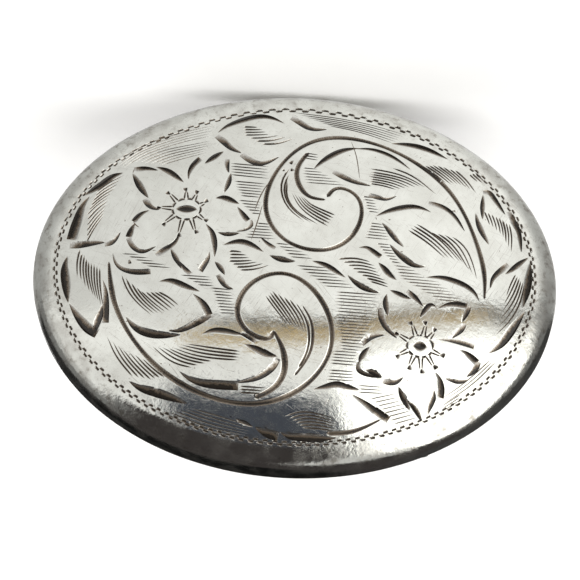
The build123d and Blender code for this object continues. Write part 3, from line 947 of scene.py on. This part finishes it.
def rgb(colour):
    """A colour, which may be given as one grey value."""
    return (colour,) * 3 if isinstance(colour, float) else colour


def noise(tree, place, scale, detail, roughness=0.5):
    """Noise texture, as a factor."""
    inputs = {"Vector": place, "Scale": scale, "Detail": detail, "Roughness": roughness}
    return node(tree, "TexNoise", inputs).outputs["Fac"]


def ramp(tree, factor, stops):
    """Colour ramp with the given (position, colour) stops."""
    n = node(tree, "ValToRGB", {"Fac": factor})
    elements = n.color_ramp.elements
    while len(elements) < len(stops):
        elements.new(0.5)
    for element, (position, colour) in zip(elements, stops):
        element.position = position
        element.color = (*rgb(colour), 1.0)
    return n.outputs["Color"]


def blend(tree, factor, first, second, kind="MIX"):
    """Mix of two colours, each a socket or a plain colour."""
    n = node(tree, "Mix", {0: factor}, data_type="RGBA", blend_type=kind)
    for name, colour in ((6, first), (7, second)):
        feed(tree, n, {name: colour if isinstance(colour, bpy.types.NodeSocket) else (*rgb(colour), 1.0)})
    return n.outputs[2]


def added(tree, first, second):
    """Sum of two colours."""
    return blend(tree, 1.0, first, second, "ADD")


def multiplied(tree, first, second):
    """Product of two colours."""
    return blend(tree, 1.0, first, second, "MULTIPLY")


def scratches(tree, place, across, lengthwise, turn, low, high):
    """Sparse fine lines: noise squeezed hard in one direction and cut off below a threshold."""
    drift = node(tree, "TexNoise", {"Vector": place, "Scale": 70.0, "Detail": 1.0}).outputs["Color"]
    bent = node(tree, "VectorMath", {0: drift, 1: (0.004, 0.004, 0.004), 2: place},
                operation="MULTIPLY_ADD").outputs[0]
    mapping = node(tree, "Mapping", {
        "Vector": bent, "Rotation": (0.0, turn, 0.0), "Scale": (1 / across, 1 / across, 1 / lengthwise),
    }, vector_type="TEXTURE")
    return ramp(tree, noise(tree, mapping.outputs[0], 1.0, 2.0, 0.6), [(low, 0.0), (high, 1.0)])


def edge_mask(tree, place, middle, edge):
    """Grey that goes from its value over the middle of the oval to its value on the rolled edge."""
    scaled = node(tree, "VectorMath", {
        0: place, 1: (1000 / HALF_LENGTH, 0.0, 1000 / HALF_HEIGHT),
    }, operation="MULTIPLY").outputs[0]
    reach = node(tree, "VectorMath", {0: scaled}, operation="LENGTH").outputs["Value"]
    return blend(tree, ramp(tree, reach, [(0.84, 0.0), (0.97, 1.0)]), middle, edge)


def new_material(name):
    """A node material, its tree, its shader and the object's coordinates."""
    material = bpy.data.materials.new(name)
    material.use_nodes = True
    tree = material.node_tree
    place = node(tree, "TexCoord").outputs["Object"]
    return material, tree, tree.nodes["Principled BSDF"], place


def finish_metal(tree, shader, colour, rough, lines, strength, under):
    """Connect a metal's colour, roughness and the bump of its scratches over another normal."""
    bump = node(tree, "Bump", {
        "Strength": strength, "Distance": 0.00002, "Height": lines, "Normal": under.outputs[0],
    })
    feed(tree, shader, {
        "Base Color": colour, "Roughness": rough, "Normal": bump.outputs[0], "Metallic": 1.0,
    })


def polished_silver():
    """Bright silver: cloudy toning, scratches rubbed in all directions, a few pits, and a duller, smudged
    and grimy rolled edge."""
    material, tree, shader, place = new_material("polished_silver")
    cloud = noise(tree, place, 260.0, 4.0)
    tint = ramp(tree, cloud, [(0.30, (0.785, 0.785, 0.72)), (0.72, (0.925, 0.93, 0.865))])
    fine = scratches(tree, place, 9000.0, 260.0, 0.5, 0.60, 0.78)
    crossed = scratches(tree, place, 7000.0, 200.0, -0.9, 0.62, 0.80)
    level = scratches(tree, place, 8000.0, 160.0, 1.75, 0.62, 0.82)
    lines = added(tree, added(tree, fine, crossed), level)
    pits = ramp(tree, noise(tree, place, 2600.0, 1.0), [(0.77, 0.0), (0.80, 1.0)])
    smudges = ramp(tree, noise(tree, place, 700.0, 5.0), [(0.40, 0.0), (0.62, 1.0)])
    smudged = multiplied(tree, smudges, edge_mask(tree, place, 0.22, 1.0))
    grime = ramp(tree, noise(tree, place, 1400.0, 6.0, 0.65), [(0.54, 0.0), (0.68, 1.0)])
    grimy = multiplied(tree, grime, edge_mask(tree, place, 0.05, 0.75))
    colour = blend(tree, lines, tint, (0.62, 0.60, 0.55))
    colour = blend(tree, smudged, colour, (0.66, 0.645, 0.59))
    colour = blend(tree, grimy, colour, (0.34, 0.31, 0.26))
    colour = blend(tree, pits, colour, (0.30, 0.27, 0.23))
    rough = ramp(tree, cloud, [(0.3, 0.075), (0.75, 0.04)])
    rough = blend(tree, lines, rough, 0.17)
    rough = blend(tree, smudged, rough, 0.24)
    waves = multiplied(tree, noise(tree, place, 1900.0, 5.0, 0.6), edge_mask(tree, place, 0.25, 1.0))
    wavy = node(tree, "Bump", {"Strength": 1.0, "Distance": 0.000024, "Height": waves})
    finish_metal(tree, shader, colour, rough, lines, 0.06, wavy)
    return material


def cut_silver():
    """Inside a graver's cut: bright on the slopes, browned and then black along the bottom, partly oxide and
    partly painted shade.
    """
    material, tree, shader, place = new_material("cut_silver")
    tone = node(tree, "Attribute", attribute_name="tone").outputs["Fac"]
    grain = noise(tree, place, 5200.0, 3.0)
    shaken = node(tree, "Math", {0: grain, 1: 0.34, 2: tone}, operation="MULTIPLY_ADD").outputs[0]
    # The cut's colour from its darkness: oxide brown and black, with painted shade on steep walls and lower
    # slopes.
    colour = ramp(tree, shaken, [
        (0.16, (0.84, 0.83, 0.79)), (0.40, (0.46, 0.435, 0.39)),
        (0.66, (0.17, 0.132, 0.095)), (0.92, (0.020, 0.016, 0.012)),
    ])
    metallic = ramp(tree, shaken, [(0.45, 1.0), (1.0, 0.25)])
    feed(tree, shader, {"Base Color": colour, "Metallic": metallic, "Roughness": 0.26})
    return material


def plain_metal(name, dark, light, rough_low, rough_high, turn):
    """Satin metal of the back: drawn or rubbed grain, a few stray scratches and soft toning."""
    material, tree, shader, place = new_material(name)
    cloud = noise(tree, place, 180.0, 5.0)
    colour = ramp(tree, cloud, [(0.3, dark), (0.68, light)])
    grain = scratches(tree, place, 11000.0, 300.0, turn, 0.35, 0.7)
    stray = scratches(tree, place, 5000.0, 120.0, turn + 1.1, 0.62, 0.76)
    rough = ramp(tree, cloud, [(0.3, rough_high), (0.7, rough_low)])
    edge = node(tree, "Bevel", {"Radius": 0.00012}, samples=4)
    finish_metal(tree, shader, colour, rough, added(tree, grain, stray), 0.25, edge)
    return material


def dress(names, material):
    """Give CAD nodes a material."""
    for name in names:
        mesh = frame["nodes"][name].data
        mesh.materials.clear()
        mesh.materials.append(material)


# --- Stage ---
FLOOR_HALF_SIZE = 6.0
CAMERA_DISTANCE = 0.250
CAMERA_TILT = math.radians(68)
CAMERA_TURN = math.radians(3.4)
CAMERA_SHIFT = (-0.00759, -0.00431)
CAMERA_LENS = 155.2

# The studio's reflections are cards round the buckle that only mirror-like rays see. A card is a patch
# of the sky seen from the buckle: its name, colour, distance, and columns of (bearing, lowest, highest
# elevation) in degrees. Bearing 0 is straight in front of the face and grows towards +X.
CARD_ROWS = 8
CARDS = [
    ("card_window", (1.9, 1.9, 1.88), 0.6, [
        (-112, 36, 54), (-95, 28, 58), (-86, 18, 60), (-78, 8, 61), (-66, 2, 62), (-60, 2, 62),
        (-40, -9, 58), (-25, -12.5, 49), (-14, -10.5, 32), (-8, -7, 13), (-4.5, -4, 3),
    ]),
    # The dark room behind the buckle, and under the window's left end.
    ("card_room_left", 0.045, 0.6, [(-180, -20, 8), (-155, -17, 16), (-130, -14, 32), (-112, -10, 36)]),
    ("card_room_near", 0.17, 0.6, [(-112, -10, 36), (-95, -10, 28), (-86, -10, 18), (-78, -10, 8)]),
    ("card_shadow", 0.006, 0.58, [(130, 14, 36), (150, 8, 50), (170, 8, 60), (188, 8, 56)]),
    ("card_room_right", 0.02, 0.6, [(112, -6, 38), (130, -5, 32), (155, -12, 16), (180, -16, 8)]),
    # The dark ceiling, from above the window round to the far side.
    ("card_ceiling", (0.04, 0.035, 0.035), 0.8, [
        (-26, 62, 89), (-17, 44, 89), (-9, 22, 89), (-4.5, 7, 89), (13, 7, 89), (16, 7, 89),
        (26, 14, 89), (46, 27, 89), (70, 35, 89), (100, 40, 89), (130, 30, 89), (155, 14, 89),
        (180, 6, 89), (205, 14, 89), (230, 30, 89), (248, 50, 89),
    ]),
    # A dark shape low in front, between the window and the wall.
    ("card_person", (0.055, 0.062, 0.08), 0.6, [
        (-6, 3, 8), (-4.5, 0.5, 8), (0, 0.3, 8.5), (8, 0.2, 8.5), (14, -1, 8),
    ]),
    # The wall on the right, darker towards its far end and along its top.
    ("card_wall", 0.82, 0.9, [(14.5, -3, 9), (26, -6, 16), (46, -6, 29), (62, -6, 35)]),
    ("card_wall_far", 0.56, 0.9, [(62, -6, 35), (70, -6, 37), (84, -6, 37)]),
    ("card_wall_end", 0.19, 0.9, [(84, -6, 37), (98, -6, 38), (112, -6, 38)]),
    ("card_wall_top", 0.17, 0.58, [(38, 25, 30), (62, 34, 41), (86, 36, 44), (112, 36, 43)]),
    # Low down: light from the table on the right, and grey, dark and tan bands on the left and in front.
    ("card_glow", 0.95, 0.9, [(11.5, -9, -5), (16, -10, -4), (20, -13, -5), (30, -12, -6), (50, -9, -6)]),
    ("card_band_side", 0.2, 0.7, [(-75, -15, -10), (-40, -16, -11), (-25, -17.5, -13.5), (-19, -17.6, -15)]),
    ("card_band", (0.05, 0.054, 0.062), 0.69, [
        (-20, -18.2, -17.1), (-12, -16.2, -15.1), (-9, -15, -14), (-6, -14, -12.9), (-3, -13.1, -11.7),
        (1, -12.7, -11.0), (5, -12.8, -11.1), (11, -12, -11.1),
    ]),
    ("card_tan", (0.5, 0.39, 0.23), 0.65, [
        (-3, -11.8, -8.9), (3, -11.1, -8.2), (9, -10.6, -7.8), (13, -10.0, -8.2),
    ]),
    ("card_tan_side", (0.46, 0.36, 0.22), 0.65, [
        (-20, -17.1, -14.6), (-12, -15.1, -12.9), (-9, -14, -11.7), (-6, -12.9, -10.2), (-3, -11.8, -9.1),
    ]),
]
# What mirror-like rays find past the cards: the table's brightness from -X to +X, how it changes from
# straight down to straight up, and how far it dims behind the buckle.
TABLE_ACROSS = [
    (0.0, 0.28), (0.18, 0.54), (0.36, 1.05), (0.52, 0.93), (0.7, 0.71), (0.86, 0.48), (1.0, 0.34),
]
TABLE_UP = [(0.0, 0.80), (0.25, 1.0), (0.50, 0.98), (0.56, 0.50), (0.65, 0.40), (1.0, 0.60)]
DIM_BEHIND = 0.6


def emission(name, colour):
    """Material that glows in one colour."""
    material, tree, _, _ = new_material(name)
    tree.nodes.clear()
    glow = node(tree, "Emission", {"Color": (*rgb(colour), 1.0), "Strength": 1.0})
    node(tree, "OutputMaterial", {"Surface": glow.outputs[0]})
    return material


def sky_point(bearing, elevation, distance):
    """The point at the given distance from the buckle in a direction given in degrees."""
    b, e = math.radians(bearing), math.radians(elevation)
    level = distance * math.cos(e)
    return (level * math.sin(b), -level * math.cos(b), distance * math.sin(e))


def card(name, colour, distance, columns):
    """One card of the studio's reflections."""
    points = []
    for bearing, low, high in columns:
        for k in range(CARD_ROWS + 1):
            points.append(sky_point(bearing, low + (high - low) * k / CARD_ROWS, distance))
    faces = []
    for column in range(len(columns) - 1):
        for row in range(CARD_ROWS):
            k = column * (CARD_ROWS + 1) + row
            faces.append((k, k + 1, k + CARD_ROWS + 2, k + CARD_ROWS + 1))
    mesh = bpy.data.meshes.new(name)
    mesh.from_pydata(points, [], faces)
    mesh.materials.append(emission(name, colour))
    piece = new_object(name, mesh)
    for rays in ("camera", "diffuse", "shadow", "transmission"):
        setattr(piece, "visible_" + rays, False)


def world():
    """Pale backdrop for the camera; for mirror-like rays a table top below and a dim room above."""
    w = bpy.data.worlds.new("studio")
    w.use_nodes = True
    tree = w.node_tree
    tree.nodes.clear()
    place = node(tree, "TexCoord").outputs["Generated"]
    split = node(tree, "SeparateXYZ", {"Vector": place})
    across = node(tree, "MapRange", {"Value": split.outputs["X"], "From Min": -1.0}).outputs[0]
    up = node(tree, "MapRange", {"Value": split.outputs["Z"], "From Min": -1.0}).outputs[0]
    behind = node(tree, "MapRange", {
        "Value": split.outputs["Y"], "From Min": 0.1, "From Max": 0.9, "To Min": 1.0, "To Max": DIM_BEHIND,
    }).outputs[0]
    mirrored = multiplied(tree, ramp(tree, across, TABLE_ACROSS), ramp(tree, up, TABLE_UP))
    mirror = node(tree, "Background", {"Color": mirrored, "Strength": behind})
    plain = node(tree, "Background", {"Color": (0.86, 0.855, 0.845, 1.0), "Strength": 1.12})
    seen = node(tree, "Background", {"Color": (0.79, 0.785, 0.77, 1.0), "Strength": 1.0})
    ray = node(tree, "LightPath")
    mixed = node(tree, "MixShader", {
        0: ray.outputs["Is Glossy Ray"], 1: plain.outputs[0], 2: mirror.outputs[0],
    })
    mixed = node(tree, "MixShader", {
        0: ray.outputs["Is Camera Ray"], 1: mixed.outputs[0], 2: seen.outputs[0],
    })
    node(tree, "OutputWorld", {"Surface": mixed.outputs[0]})
    bpy.context.scene.world = w


def floor():
    """Large pale floor under the buckle's lowest edge. Metal mirrors the studio cards, not the floor."""
    size = FLOOR_HALF_SIZE
    z = cad_low.z
    mesh = bpy.data.meshes.new("floor")
    corners = [(-size, -size, z), (size, -size, z), (size, size, z), (-size, size, z)]
    mesh.from_pydata(corners, [], [(0, 1, 2, 3)])
    material, tree, shader, place = new_material("floor_paper")
    mottle = noise(tree, place, 90.0, 3.0)
    colour = ramp(tree, mottle, [(0.3, (0.80, 0.795, 0.785)), (0.7, (0.83, 0.825, 0.815))])
    feed(tree, shader, {"Base Color": colour, "Roughness": 0.9})
    mesh.materials.append(material)
    piece = new_object("floor", mesh)
    piece.visible_glossy = False


def area_light(name, place, size, power):
    """Round soft light aimed at the buckle, not seen in its metal."""
    light = bpy.data.lights.new(name, "AREA")
    light.shape = "DISK"
    light.size = size
    light.energy = power
    lamp = new_object(name, light)
    lamp.location = place
    lamp.rotation_mode = "QUATERNION"
    lamp.rotation_quaternion = (-Vector(place)).to_track_quat("-Z", "Y")
    lamp.visible_glossy = False


def camera():
    """The picture's camera: 22 degrees off the face's normal, above it, and rolled by half a turn."""
    c, s = math.cos(CAMERA_TURN), math.sin(CAMERA_TURN)
    level = math.cos(CAMERA_TILT)
    right = Vector((-c, 0.0, -s))
    back = Vector((-s * level, -math.sin(CAMERA_TILT), c * level))
    above = back.cross(right)
    data = bpy.data.cameras.new("camera")
    data.lens = CAMERA_LENS
    data.shift_x, data.shift_y = CAMERA_SHIFT
    data.clip_start = 0.01
    data.clip_end = 50.0
    piece = new_object("camera", data)
    turn = Matrix((right, above, back)).transposed()
    piece.matrix_world = Matrix.Translation(back * CAMERA_DISTANCE) @ turn.to_4x4()
    bpy.context.scene.camera = piece


# --- Build ---
face = engraved_face()
face.data.materials.append(polished_silver())
face.data.materials.append(cut_silver())
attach(face, "plate")
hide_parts("face_plate")

back_silver = plain_metal("back_silver", (0.80, 0.785, 0.745), (0.95, 0.94, 0.91), 0.18, 0.30, 1.45)
nickel = plain_metal("nickel_silver", (0.66, 0.625, 0.56), (0.86, 0.83, 0.765), 0.16, 0.30, 0.1)
steel = plain_metal("steel", (0.46, 0.46, 0.47), (0.64, 0.64, 0.65), 0.18, 0.30, 0.0)
dress(["bearer_wire", "back_plate"], back_silver)
dress(["hinge_leaf", "leaf_rivets", "hinge_knuckle_upper", "hinge_knuckle_lower", "bail", "hook_pad",
       "hook_peg", "hook_rivets"], nickel)
dress(["hinge_pin", "pin_washer"], steel)

floor()
world()
for entry in CARDS:
    card(*entry)
area_light("key", (-0.30, -0.45, 0.80), 0.9, 6.0)
area_light("fill", (0.6, 0.4, 0.6), 1.0, 3.0)
camera()
bpy.context.scene.view_settings.view_transform = "Standard"
